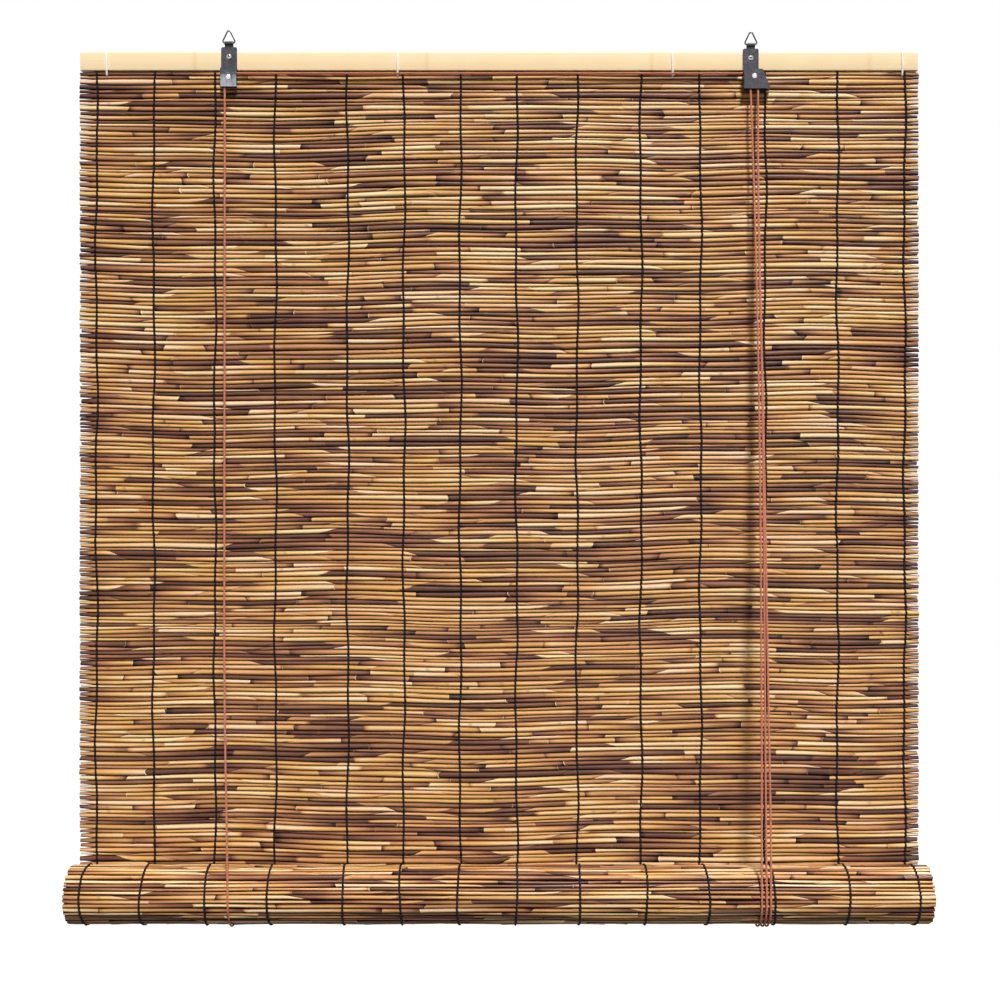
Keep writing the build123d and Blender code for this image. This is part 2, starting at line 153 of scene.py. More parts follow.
def bump(tree, shader, height, strength, distance):
    node = feed(tree, addNode(tree, "ShaderNodeBump"), Height=height, Strength=strength, Distance=distance)
    tree.links.new(node.outputs["Normal"], shader.inputs["Normal"])


def pieceData(tree, name):  # the four numbers that a piece's mesh keeps at each point
    attribute = addNode(tree, "ShaderNodeAttribute", attribute_name=name)
    split = addNode(tree, "ShaderNodeSeparateColor")
    tree.links.new(attribute.outputs["Color"], split.inputs[0])
    return (*split.outputs, attribute.outputs["Alpha"])


def coordinates(tree, kind):  # X, Y and Z of a texture coordinate
    split = addNode(tree, "ShaderNodeSeparateXYZ")
    tree.links.new(addNode(tree, "ShaderNodeTexCoord").outputs[kind], split.inputs[0])
    return split.outputs


def newGroup(name, inputs, outputs):
    group = bpy.data.node_groups.new(name, "ShaderNodeTree")
    sockets = group.interface
    for label, value in inputs:
        socket = sockets.new_socket(label, in_out="INPUT", socket_type="NodeSocketFloat")
        socket.default_value = value
    for label in outputs:
        sockets.new_socket(label, in_out="OUTPUT", socket_type="NodeSocketFloat")
    return group, addNode(group, "NodeGroupInput"), addNode(group, "NodeGroupOutput")


def useGroup(tree, group, **sockets):
    return feed(tree, addNode(tree, "ShaderNodeGroup", node_tree=group), **sockets)


def makeFibreGroup():  # long streaks along X, for reeds and the bamboo slat
    group, inlet, outlet = newGroup(
        "fibreStreaks", [("Along", 9.0), ("Across", 900.0)], ["Streak", "Blotch"])
    place = addNode(group, "ShaderNodeTexCoord").outputs["Object"]
    stretch = addNode(group, "ShaderNodeCombineXYZ")
    feed(group, stretch, X=inlet.outputs["Along"], Y=inlet.outputs["Across"], Z=inlet.outputs["Across"])
    stretched = addNode(group, "ShaderNodeVectorMath", operation="MULTIPLY")
    group.links.new(place, stretched.inputs[0])
    group.links.new(stretch.outputs[0], stretched.inputs[1])
    streak = feed(group, addNode(group, "ShaderNodeTexNoise"), Vector=stretched.outputs[0],
                  Scale=1.0, Detail=3.0, Roughness=0.6)
    blotch = feed(group, addNode(group, "ShaderNodeTexNoise"), Vector=place, Scale=26.0, Detail=2.0)
    group.links.new(streak.outputs[0], outlet.inputs["Streak"])
    group.links.new(blotch.outputs[0], outlet.inputs["Blotch"])
    return group


def makeSpeckleGroup():  # crystals and small dark pits of a zinc coat
    group, inlet, outlet = newGroup(
        "zincSpeckle", [("Size", 900.0), ("Pits", 0.62)], ["Crystal", "Pit", "Cloud"])
    place = addNode(group, "ShaderNodeTexCoord").outputs["Object"]
    crystal = feed(group, addNode(group, "ShaderNodeTexVoronoi"), Vector=place, Scale=inlet.outputs["Size"])
    shade = addNode(group, "ShaderNodeSeparateColor")
    group.links.new(crystal.outputs["Color"], shade.inputs[0])
    fine = feed(group, addNode(group, "ShaderNodeTexNoise"), Vector=place, Scale=1400.0, Detail=2.0)
    pit = math2(group, "GREATER_THAN", fine.outputs[0], inlet.outputs["Pits"])
    cloud = feed(group, addNode(group, "ShaderNodeTexNoise"), Vector=place, Scale=120.0, Detail=3.0)
    group.links.new(shade.outputs[0], outlet.inputs["Crystal"])
    group.links.new(pit, outlet.inputs["Pit"])
    group.links.new(cloud.outputs[0], outlet.inputs["Cloud"])
    return group


def makeBraidGroup():  # crossed strands, from a tube's own round and along coordinates
    group, inlet, outlet = newGroup("cordBraid", [("Around", 4.0), ("Along", 1.0)], ["Height", "Strand"])
    place = coordinates(group, "UV")
    around = math2(group, "MULTIPLY", place["X"], inlet.outputs["Around"])
    along = math2(group, "MULTIPLY", place["Y"], inlet.outputs["Along"])
    turn = 2 * math.pi
    left = math2(group, "SINE", math2(group, "MULTIPLY", math2(group, "ADD", around, along), turn))
    right = math2(group, "SINE", math2(group, "MULTIPLY", math2(group, "SUBTRACT", around, along), turn))
    crossed = math2(group, "MULTIPLY", left, right)
    group.links.new(math2(group, "ABSOLUTE", crossed), outlet.inputs["Height"])
    group.links.new(math2(group, "GREATER_THAN", crossed, 0.0), outlet.inputs["Strand"])
    return group


fibreStreaks = makeFibreGroup()
zincSpeckle = makeSpeckleGroup()
cordBraid = makeBraidGroup()


# Materials

reedFinish = {
    "straw": colour(250, 224, 182),
    "gold": colour(226, 178, 109),
    "tan": colour(194, 143, 98),
    "brown": colour(142, 97, 71),
    "plum": colour(104, 67, 52),
    "dark": colour(42, 19, 10),
    "yellower": colour(255, 253, 232),
    "pinker": colour(255, 240, 240),
    "cut": colour(246, 222, 176),
    "knuckle": colour(120, 82, 54),
    # groove is the colour of painted shade in the grooves between reeds
    "groove": colour(88, 27, 3),
    "places": (0.0, 0.26, 0.46, 0.64, 0.82, 1.0),  # of the six tones, from straw to dark
    "streak": 0.30, "blotch": 0.24, "knuckleShare": 0.45,
    "grooveFall": 2.0, "glossFall": 2.0, "gloss": 0.34, "roughness": 0.36, "grooveRougher": 0.5,
    "bump": (0.25, 0.0004),
}


def makeReedMaterial():  # reedData holds tone, knuckle, cut end and hue
    material, tree, shader = newMaterial("reed")
    tone, knuckle, cut, hue = pieceData(tree, "reedData")
    turned = math2(tree, "SINE", math2(tree, "MULTIPLY", coordinates(tree, "UV")["X"], 2 * math.pi))
    groove = math2(tree, "POWER", math2(tree, "ABSOLUTE", turned), reedFinish["grooveFall"])
    fibre = useGroup(tree, fibreStreaks, Along=14.0, Across=1100.0)
    streak = math2(tree, "SUBTRACT", fibre.outputs["Streak"], 0.5)
    blotch = math2(tree, "SUBTRACT", fibre.outputs["Blotch"], 0.5)
    shifted = math2(tree, "ADD", tone, math2(tree, "MULTIPLY", streak, reedFinish["streak"]))
    shifted = math2(tree, "ADD", shifted, math2(tree, "MULTIPLY", blotch, reedFinish["blotch"]))
    tones = [reedFinish[name] for name in ("straw", "gold", "tan", "brown", "plum", "dark")]
    skin = ramp(tree, shifted, list(zip(reedFinish["places"], tones)))
    tint = mix(tree, hue, reedFinish["yellower"], reedFinish["pinker"])
    tinted = mix(tree, 1.0, skin, tint, blend="MULTIPLY")
    ring = math2(tree, "MULTIPLY", knuckle, reedFinish["knuckleShare"])
    ringed = mix(tree, ring, tinted, reedFinish["knuckle"])
    # painted shade: the colour darkens towards the top and bottom of each reed's round, where the grooves
    # are
    grooveShade = mix(tree, groove, (1, 1, 1, 1), reedFinish["groove"])
    grooveShaded = mix(tree, 1.0, ringed, grooveShade, blend="MULTIPLY")
    ends = mix(tree, cut, grooveShaded, reedFinish["cut"])
    rougher = math2(tree, "MULTIPLY", groove, reedFinish["grooveRougher"])
    rough = math2(tree, "ADD", rougher, reedFinish["roughness"])
    clear = math2(tree, "POWER", math2(tree, "SUBTRACT", 1.0, groove), reedFinish["glossFall"])
    gloss = math2(tree, "MULTIPLY", clear, reedFinish["gloss"])
    feed(tree, shader, Base_Color=ends, Roughness=rough, Specular_IOR_Level=gloss)
    bump(tree, shader, fibre.outputs["Streak"], *reedFinish["bump"])
    return material


bambooFinish = {
    "pale": colour(253, 229, 184),
    "warm": colour(248, 218, 168),
    "ring": colour(226, 192, 136),
    "places": (0.38, 0.78), "streak": 0.75, "blotch": 0.35, "ringShare": 0.3,
    "roughness": 0.5, "gloss": 0.35, "bump": (0.2, 0.0003),
}


def makeBambooMaterial():  # battenData's first number is how near a knuckle of the cane is
    material, tree, shader = newMaterial("bamboo")
    near = pieceData(tree, "battenData")[0]
    fibre = useGroup(tree, fibreStreaks, Along=5.0, Across=1600.0)
    streak = math2(tree, "MULTIPLY", fibre.outputs["Streak"], bambooFinish["streak"])
    blotch = math2(tree, "MULTIPLY", fibre.outputs["Blotch"], bambooFinish["blotch"])
    shades = zip(bambooFinish["places"], (bambooFinish["pale"], bambooFinish["warm"]))
    grain = ramp(tree, math2(tree, "ADD", streak, blotch), list(shades))
    ring = math2(tree, "MULTIPLY", near, bambooFinish["ringShare"])
    ringed = mix(tree, ring, grain, bambooFinish["ring"])
    feed(tree, shader, Base_Color=ringed, Roughness=bambooFinish["roughness"],
         Specular_IOR_Level=bambooFinish["gloss"])
    bump(tree, shader, fibre.outputs["Streak"], *bambooFinish["bump"])
    return material


threadFinish = {
    "low": colour(13, 11, 12), "high": colour(34, 30, 31), "around": 2.0, "along": 0.6,
    "roughness": 0.85, "gloss": 0.25, "bump": (0.4, 0.0002),
}
tieFinish = {
    "low": colour(248, 246, 238), "high": colour(255, 254, 250), "around": 3.0, "along": 1.2,
    "roughness": 0.6, "gloss": 0.3, "bump": (0.3, 0.0002),
}


def makeStrandMaterial(name, finish):  # low is painted shade between the strands, high the strands' own colour
    material, tree, shader = newMaterial(name)
    braid = useGroup(tree, cordBraid, Around=finish["around"], Along=finish["along"])
    # painted shade: darker where the strands dip between each other
    shade = mix(tree, braid.outputs["Height"], finish["low"], finish["high"])
    feed(tree, shader, Base_Color=shade, Roughness=finish["roughness"], Specular_IOR_Level=finish["gloss"])
    bump(tree, shader, braid.outputs["Height"], *finish["bump"])
    return material


cordFinish = {
    "red": colour(208, 110, 76),
    "pale": colour(234, 156, 120),
    "deep": colour(146, 58, 38),
    "around": 4.0, "along": 0.8, "gap": 0.3,  # gap is how high between strands the painted shade of the deep colour goes
    "roughness": 0.72, "gloss": 0.3, "sheen": 0.25, "sheenRough": 0.5, "bump": (0.6, 0.0003),
}


def makeCordMaterial():
    material, tree, shader = newMaterial("red_cord")
    braid = useGroup(tree, cordBraid, Around=cordFinish["around"], Along=cordFinish["along"])
    strands = mix(tree, braid.outputs["Strand"], cordFinish["red"], cordFinish["pale"])
    # painted shade: the deep colour darkens the cord between its strands
    stops = [(0.0, cordFinish["deep"]), (cordFinish["gap"], (1, 1, 1, 1))]
    shade = ramp(tree, braid.outputs["Height"], stops)
    both = mix(tree, 1.0, strands, shade, blend="MULTIPLY")
    feed(tree, shader, Base_Color=both, Roughness=cordFinish["roughness"],
         Specular_IOR_Level=cordFinish["gloss"], Sheen_Weight=cordFinish["sheen"],
         Sheen_Roughness=cordFinish["sheenRough"])
    bump(tree, shader, braid.outputs["Height"], *cordFinish["bump"])
    return material


zincFinish = {
    "size": 1100.0, "pits": 0.63, "crystal": 0.45, "cloud": 0.7, "places": (0.25, 0.85),
    "pit": colour(40, 39, 41), "pitShare": 0.55, "metallic": 0.9, "rougher": 0.2, "bump": (0.15, 0.0003),
}


def footShare(tree, node):  # from -0.5 at a node's top to 0.5 at its foot
    low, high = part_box(node)
    above = math2(tree, "SUBTRACT", middle(node).z, coordinates(tree, "Object")["Z"])
    return math2(tree, "DIVIDE", above, high.z - low.z)


def makeZincMaterial(name, dull, bright, roughness, paintedReflectionFoot=None):
    # the last argument is a node whose colour gets painted reflection: duller at its top, brighter at its
    # foot
    material, tree, shader = newMaterial(name)
    speckle = useGroup(tree, zincSpeckle, Size=zincFinish["size"], Pits=zincFinish["pits"])
    crystal = math2(tree, "MULTIPLY", speckle.outputs["Crystal"], zincFinish["crystal"])
    cloud = math2(tree, "MULTIPLY", speckle.outputs["Cloud"], zincFinish["cloud"])
    cloudAndPaintedReflection = math2(tree, "ADD", crystal, cloud)
    if paintedReflectionFoot is not None:
        # painted reflection: the colour brightens towards the node's foot
        cloudAndPaintedReflection = math2(tree, "ADD", cloudAndPaintedReflection, footShare(tree, paintedReflectionFoot))
    coatAndPaintedReflection = ramp(tree, cloudAndPaintedReflection, list(zip(zincFinish["places"], (dull, bright))))
    pits = math2(tree, "MULTIPLY", speckle.outputs["Pit"], zincFinish["pitShare"])
    rougher = math2(tree, "MULTIPLY", speckle.outputs["Cloud"], zincFinish["rougher"])
    feed(tree, shader, Base_Color=mix(tree, pits, coatAndPaintedReflection, zincFinish["pit"]), Metallic=zincFinish["metallic"],
         Roughness=math2(tree, "ADD", roughness, rougher))
    bump(tree, shader, speckle.outputs["Cloud"], *zincFinish["bump"])
    return material


screwFinish = {
    "shade": colour(214, 214, 218), "worn": colour(170, 170, 176), "roughness": 0.2,
    # the slot colour is painted shade in a screw's crossed slot
    "slotHalf": 0.00048, "slotReach": 0.00175, "slotShade": colour(34, 33, 35),
}


def slotShare(tree, centre):  # 1 in the arms of a cross round a screw's middle, 0 elsewhere
    place = coordinates(tree, "Object")
    across = math2(tree, "ABSOLUTE", math2(tree, "SUBTRACT", place["X"], centre.x))
    upward = math2(tree, "ABSOLUTE", math2(tree, "SUBTRACT", place["Z"], centre.z))
    near = math2(tree, "LESS_THAN", math2(tree, "MINIMUM", across, upward), screwFinish["slotHalf"])
    inside = math2(tree, "LESS_THAN", math2(tree, "MAXIMUM", across, upward), screwFinish["slotReach"])
    return math2(tree, "MULTIPLY", near, inside)


metalFinish = {"size": 500.0, "pits": 0.7, "rougher": 0.15, "bump": (0.08, 0.0002)}


def makeMetalMaterial(name, shade, worn, roughness, slotted=None):
    # slotted is a screw's node, whose crossed slot gets painted shade
    material, tree, shader = newMaterial(name)
    speckle = useGroup(tree, zincSpeckle, Size=metalFinish["size"], Pits=metalFinish["pits"])
    tint = mix(tree, speckle.outputs["Cloud"], shade, worn)
    if slotted is not None:
        tint = mix(tree, slotShare(tree, middle(slotted)), tint, screwFinish["slotShade"])
    rougher = math2(tree, "MULTIPLY", speckle.outputs["Cloud"], metalFinish["rougher"])
    feed(tree, shader, Base_Color=tint, Metallic=1.0, Roughness=math2(tree, "ADD", roughness, rougher))
    bump(tree, shader, speckle.outputs["Cloud"], *metalFinish["bump"])
    return material


reedMaterial = makeReedMaterial()
bambooMaterial = makeBambooMaterial()
threadMaterial = makeStrandMaterial("black_thread", threadFinish)
cordMaterial = makeCordMaterial()
tieMaterial = makeStrandMaterial("white_tie", tieFinish)
strapMaterial = makeZincMaterial("zinc_strap", colour(52, 51, 54), colour(80, 78, 82), 0.36)
# the housing gets painted reflection, brighter towards its foot
housingMaterial = makeZincMaterial("zinc_housing", colour(76, 78, 86), colour(158, 160, 169), 0.26,
                                   "left_pulley_housing")
ringMaterial = makeZincMaterial("zinc_ring", colour(62, 61, 64), colour(98, 97, 100), 0.3)
headMaterial = makeMetalMaterial("bright_steel", colour(236, 236, 240), colour(206, 206, 212), 0.16)
brassMaterial = makeMetalMaterial("brass", colour(206, 168, 92), colour(170, 132, 66), 0.24)
print("materials made")


# Mesh gathering: many tubes in one mesh, each with round sides and flat cut ends

def newGather():
    return {"points": [], "data": [], "corners": [], "sizes": [], "uvs": [], "count": 0}


def addRings(gather, rings, data=None, along=None, caps=None, closed=False):
    # rings is stations x sides x 3, round the line's own direction as a right-hand screw
    stations, sides = rings.shape[:2]
    data = np.zeros((stations, 4)) if data is None else data
    along = np.zeros(stations) if along is None else along
    index = gather["count"] + np.arange(stations * sides).reshape(stations, sides)
    if closed:
        index = np.vstack([index, index[:1]])
        along = np.append(along, 2 * along[-1] - along[-2])
    side = np.roll(index, -1, axis=1)
    quads = np.stack([index[:-1], side[:-1], side[1:], index[1:]], axis=-1).reshape(-1, 4)
    gather["points"].append(rings.reshape(-1, 3))
    gather["data"].append(np.repeat(data, sides, axis=0))
    gather["corners"].append(quads.ravel())
    gather["sizes"].append(np.full(len(quads), 4))
    round0 = np.broadcast_to(np.arange(sides) / sides, (len(index) - 1, sides))
    round1 = round0 + 1 / sides
    along0 = np.broadcast_to(along[:-1, None], round0.shape)
    along1 = np.broadcast_to(along[1:, None], round0.shape)
    pairs = [(round0, along0), (round1, along0), (round1, along1), (round0, along1)]
    gather["uvs"].append(np.stack([np.stack(pair, axis=-1) for pair in pairs], axis=2).reshape(-1, 2))
    gather["count"] += stations * sides
    if closed:
        return
    for ring, order, end in ((rings[0], -1, 0), (rings[-1], 1, -1)):
        cap = gather["count"] + np.arange(sides)
        gather["points"].append(ring)
        gather["data"].append(np.tile(data[end] if caps is None else caps[end], (sides, 1)))
        gather["corners"].append(cap[::order])
        gather["sizes"].append(np.array([sides]))
        gather["uvs"].append(np.zeros((sides, 2)))
        gather["count"] += sides


def makePiece(name, gather, body, node, material, dataName="pieceData"):
    points = np.concatenate(gather["points"]).astype(np.float32)
    corners = np.concatenate(gather["corners"]).astype(np.int32)
    sizes = np.concatenate(gather["sizes"]).astype(np.int32)
    mesh = bpy.data.meshes.new(name)
    mesh.vertices.add(len(points))
    mesh.vertices.foreach_set("co", points.ravel())
    mesh.loops.add(len(corners))
    mesh.loops.foreach_set("vertex_index", corners)
    mesh.polygons.add(len(sizes))
    mesh.polygons.foreach_set("loop_start", (np.cumsum(sizes) - sizes).astype(np.int32))
    mesh.polygons.foreach_set("loop_total", sizes)
    mesh.polygons.foreach_set("use_smooth", np.ones(len(sizes), bool))
    layer = mesh.uv_layers.new(name="tube")
    layer.data.foreach_set("uv", np.concatenate(gather["uvs"]).astype(np.float32).ravel())
    attribute = mesh.attributes.new(dataName, "FLOAT_COLOR", "POINT")
    attribute.data.foreach_set("color", np.concatenate(gather["data"]).astype(np.float32).ravel())
    mesh.update(calc_edges=True)
    mesh.validate()
    mesh.materials.append(material)
    piece = bpy.data.objects.new(name, mesh)
    bpy.context.scene.collection.objects.link(piece)
    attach(piece, body)
    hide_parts(node)
    triangleCounts[name] = int((sizes - 2).sum())
    return piece


def tubeRings(line, radius, sides, towards, closed=False):
    # towards is a direction, or one for each point, that the line never runs along
    line = np.asarray(line, float)
    if closed:
        ahead = np.roll(line, -1, axis=0) - np.roll(line, 1, axis=0)
    else:
        ahead = np.gradient(line, axis=0)
    ahead /= np.linalg.norm(ahead, axis=1)[:, None]
    towards = np.broadcast_to(np.asarray(towards, float), line.shape)
    first = towards - (ahead * towards).sum(axis=1)[:, None] * ahead
    first /= np.linalg.norm(first, axis=1)[:, None]
    second = np.cross(ahead, first)
    turn = 2 * np.pi * np.arange(sides) / sides
    radius = np.broadcast_to(radius, len(line))[:, None, None]
    spokes = np.cos(turn)[None, :, None] * first[:, None] + np.sin(turn)[None, :, None] * second[:, None]
    return line[:, None] + radius * spokes


def lengthAlong(line):
    return np.concatenate([[0.0], np.cumsum(np.linalg.norm(np.diff(line, axis=0), axis=1))])


def addTube(gather, line, radius, sides, towards, closed=False):
    rings = tubeRings(line, radius, sides, towards, closed)
    addRings(gather, rings, along=lengthAlong(line) / (2 * radius), closed=closed)


triangleCounts = {}


# Cords: taut red cords, on routes repeated from the solids, in metres

cordLook = {
    "diameter": 0.0024, "sides": 10, "resolution": 48, "arcSteps": 33,
    "settle": 4.0,  # bends past a pulley before the crossover cord runs straight
}
rollAxis = np.array(joints["roll_turn"]["pos_m"], float)
cordRoutes = {
    "left_lift_cord": [
        (-0.3257, -0.0080, -0.0312), (-0.3249, -0.0113, -0.0824), (-0.3196, -0.0404, -0.5327),
        (-0.3169, -0.0553, -0.7637), (-0.3113, -0.0660, -0.9300), (-0.3102, -0.0700, -0.9918),
    ],
    "right_lift_cord": [
        (0.2972, -0.0116, -0.0312), (0.2984, -0.0145, -0.0790), (0.3012, -0.0224, -0.2090),
        (0.3040, -0.0368, -0.4452), (0.3022, -0.0578, -0.7919), (0.3004, -0.0664, -0.9330),
        (0.3002, -0.0700, -0.9918),
    ],
    "pull_cord_a": [
        (0.3066, -0.0080, -0.0312), (0.3064, -0.0113, -0.0824), (0.3060, -0.0185, -0.2090),
        (0.3091, -0.0335, -0.4452), (0.3106, -0.0560, -0.7919), (0.3116, -0.0660, -0.9300),
        (0.3105, -0.0700, -0.9918),
    ],
    "pull_cord_b": [
        (0.3066, -0.0116, -0.0312), (0.3060, -0.0145, -0.0790), (0.3046, -0.0224, -0.2090),
        (0.3080, -0.0368, -0.4452), (0.3060, -0.0578, -0.7919), (0.3058, -0.0664, -0.9330),
        (0.3057, -0.0700, -0.9918),
    ],
    "left_back_cord": [
        (-0.3255, 0.0060, -0.0112), (-0.3233, 0.0058, -0.1400), (-0.3113, 0.0042, -0.9200),
        (-0.3102, 0.0040, -0.9918),
    ],
    "right_back_cord": [
        (0.3037, 0.0060, -0.0112), (0.3032, 0.0058, -0.1400), (0.3005, 0.0042, -0.9200),
        (0.3002, 0.0040, -0.9918),
    ],
}


def routeLine(points):  # the smooth line of a route, read from its own curve
    curve = bpy.data.curves.new("route", "CURVE")
    curve.dimensions = "3D"
    spline = curve.splines.new("NURBS")
    spline.points.add(len(points) - 1)
    for knot, place in zip(spline.points, points):
        knot.co = (*place, 1.0)
    spline.order_u = 3
    spline.use_endpoint_u = True
    spline.resolution_u = cordLook["resolution"]
    holder = bpy.data.objects.new("route", curve)
    mesh = bpy.data.meshes.new_from_object(holder)
    line = np.array([vertex.co for vertex in mesh.vertices], float)
    bpy.data.meshes.remove(mesh)
    bpy.data.objects.remove(holder)
    bpy.data.curves.remove(curve)
    return line


def makeCord(name, node, body, line, towards):
    gather = newGather()
    addTube(gather, line, cordLook["diameter"] / 2, cordLook["sides"], towards)
    return makePiece(name, gather, body, node, cordMaterial)


def makeSling(node):  # half a turn under the roll, and up behind it where it is a tail
    low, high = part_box(node)
    centre = (low + high) / 2
    reach = (high.y - low.y - cordLook["diameter"]) / 2
    turn = np.linspace(math.pi, 2 * math.pi, cordLook["arcSteps"])
    line = np.stack([
        np.full(len(turn), centre.x), centre.y + reach * np.cos(turn), rollAxis[2] + reach * np.sin(turn),
    ], axis=1)
    rise = high.z - rollAxis[2]
    if rise > cordLook["diameter"]:
        line = np.vstack([line, line[-1] + [[0, 0, rise / 2], [0, 0, rise]]])
    makeCord(node + "_turn", node, "slings", line, (1, 0, 0))


bindingLook = {"turns": 7, "steps": 40, "strand": 0.0006, "sides": 6, "flatEnds": 0.55, "flatSides": 0.8}


def makeBinding():  # turns of thin cord, whipped round three cords behind the roll
    low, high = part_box("pull_cord_binding")
    strand, turns = bindingLook["strand"], bindingLook["turns"]
    turn = np.linspace(0, 2 * math.pi * turns, turns * bindingLook["steps"])
    across = np.sign(np.cos(turn)) * np.abs(np.cos(turn)) ** bindingLook["flatEnds"]
    deep = np.sign(np.sin(turn)) * np.abs(np.sin(turn)) ** bindingLook["flatSides"]
    line = np.stack([
        (low.x + high.x) / 2 + ((high.x - low.x) / 2 - strand) * across,
        (low.y + high.y) / 2 + ((high.y - low.y) / 2 - strand) * deep,
        np.linspace(low.z + strand, high.z - strand, len(turn)),
    ], axis=1)
    gather = newGather()
    addTube(gather, line, strand, bindingLook["sides"], (0, 0, 1))
    makePiece("pull_cord_binding_turns", gather, "slings", "pull_cord_binding", cordMaterial)


def makeRuns():
    for name, points in cordRoutes.items():
        line = routeLine(points)
        piece = makeCord(name + "_run", name, "headrail", line, (1, 0, 0))
        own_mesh(piece)


def makeCrossover():  # up over the left pulley, across, and over the lock's pulley
    low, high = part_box("crossover_cord")
    y, radius = (low.y + high.y) / 2, cordLook["diameter"] / 2
    left, right, top = low.x + radius, high.x - radius, high.z - radius
    bend = top - low.z
    settled = cordLook["settle"] * bend
    points = [
        (left, y, low.z), (left, y, top), (left + bend, y, top), (left + settled, y, top),
        (right - settled, y, top), (right - bend, y, top), (right, y, top), (right, y, low.z),
    ]
    makeCord("crossover_cord_run", "crossover_cord", "headrail", routeLine(points), (0, 1, 0))


def makeLockLoop():  # over the lock's pulley, between the lift cord and the pull cord
    low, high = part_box("lock_cord_loop")
    reach = (high.x - low.x - cordLook["diameter"]) / 2
    turn = np.linspace(math.pi, 0, cordLook["arcSteps"])
    line = np.stack([
        (low.x + high.x) / 2 + reach * np.cos(turn), np.full(len(turn), (low.y + high.y) / 2),
        low.z + reach * np.sin(turn),
    ], axis=1)
    makeCord("lock_cord_loop_turn", "lock_cord_loop", "headrail", line, (0, 1, 0))


knotLook = {"span": 0.0034, "deep": 0.0016, "strand": 0.0011, "steps": 84, "sides": 8, "nudge": 1e-5}


def makeKnot(node):  # an overhand stopper knot, drawn up tight
    turn = np.linspace(0, 2 * math.pi, knotLook["steps"], endpoint=False)
    shape = np.stack([
        knotLook["span"] * (np.sin(turn) + 2 * np.sin(2 * turn)) / 3,
        -knotLook["deep"] * np.sin(3 * turn),
        knotLook["span"] * (np.cos(turn) - 2 * np.cos(2 * turn)) / 3,
    ], axis=1)
    gather = newGather()
    outward = shape + [[0, knotLook["nudge"], 0]]
    line = shape + np.array(middle(node))
    addTube(gather, line, knotLook["strand"], knotLook["sides"], outward, closed=True)
    makePiece(node + "_turns", gather, "headrail", node, cordMaterial)


makeRuns()
for name in ("left_sling", "right_sling", "pull_tail_a", "pull_tail_b"):
    makeSling(name)
makeBinding()
makeCrossover()
makeLockLoop()
makeKnot("left_cord_knot")
makeKnot("right_cord_knot")
print("cords laid")


# Reeds: each row is several reeds, which taper past each other or lie end over end

reedLook = {
    "rows": 189, "sides": 8, "uneven": 0.17, "heights": (0.68, 1.4), "spread": 0.02,
    "flat": 0.97, "flatSpread": 0.03, "underBatten": 0.0002,
    "shortest": 0.036, "more": 0.037, "draws": 2.0,  # a reed's length is the shortest and two such draws
    "edgeWaves": ((0.00050, 15.0), (0.00035, 37.0)),
    "lap": (0.012, 0.026), "tip": 0.005, "midTips": 1.5, "tipChance": 0.7,
    # tipDarker and darkTips set painted shade: a reed's tone darkens at a tip where it meets the next reed
    "tipDarker": (0.25, 0.7), "darkTips": 1.6, "cutShares": (0.25, 0.9),
    "graded": (0.10, 0.80), "gradeMiddle": 0.33, "darkest": 0.86,
    "tones": (0.12, 0.28, 0.42, 0.60, 0.80), "toneShares": (0.22, 0.28, 0.19, 0.17, 0.14),
    "toneSpread": 0.05,
}
knuckleLook = {
    "chance": 0.12, "clear": 0.004, "least": 0.001, "steps": (-0.0035, -0.0008, 0.0008, 0.0035),
    "width": 0.0016, "rise": 0.10,
}
joinLook = {  # reeds that end one over the other, or taper past each other, and the loose ends
    "overChance": 0.6,
    "over": {"out": 0.0005, "size": 0.96, "cut": (0.1, 1.2), "skew": 0.4},
    "under": {"out": -0.0011, "size": 0.72},
    "past": {"out": 0.0002, "along": 0.50, "size": (0.50, 0.64), "cut": (-0.3, 0.8), "skew": 0.7},
    "loose": {"along": 0.1, "skew": 0.2},
}
layings = {  # loose ends at the sides, how rough, close and dark the rows are, and how fine
    "mat": {
        "reach": 0.019, "narrow": (0.60, 0.84), "ragged": 0.0008,
        "rough": 0.00022, "cover": 1.10, "darkerFoot": 0.07, "station": 0.031,
    },
    "roll": {
        "reach": 0.010, "narrow": (0.84, 0.98), "ragged": 0.0004,
        "rough": 0.00018, "cover": 0.95, "darkerFoot": 0.0, "station": 0.046,
    },
}


def drawTone():
    return draw.choice(reedLook["tones"], p=reedLook["toneShares"]) + draw.normal(0, reedLook["toneSpread"])


def drawRows(count, length, laying):  # where each row begins, and how the edges between rows wave
    heights = np.clip(draw.normal(1, reedLook["uneven"], count), *reedLook["heights"])
    begins = np.concatenate([[0.0], np.cumsum(heights)]) * length / heights.sum()
    phases = draw.uniform(0, 2 * np.pi, (count + 1, len(reedLook["edgeWaves"])))
    calm = np.ones(count + 1)
    calm[[0, -1]] = 0.0
    return {**laying, "begins": begins, "phases": phases, "calm": calm, "count": count}


def edgeAt(rows, number, x):  # how far along the mat the edge before a row is, at x
    wave = 0.0
    for index, (size, often) in enumerate(reedLook["edgeWaves"]):
        wave = wave + size * np.sin(often * x + rows["phases"][number, index])
    return rows["begins"][number] + rows["calm"][number] * wave


def rowMiddle(rows, row):
    return (rows["begins"][row] + rows["begins"][row + 1]) / 2


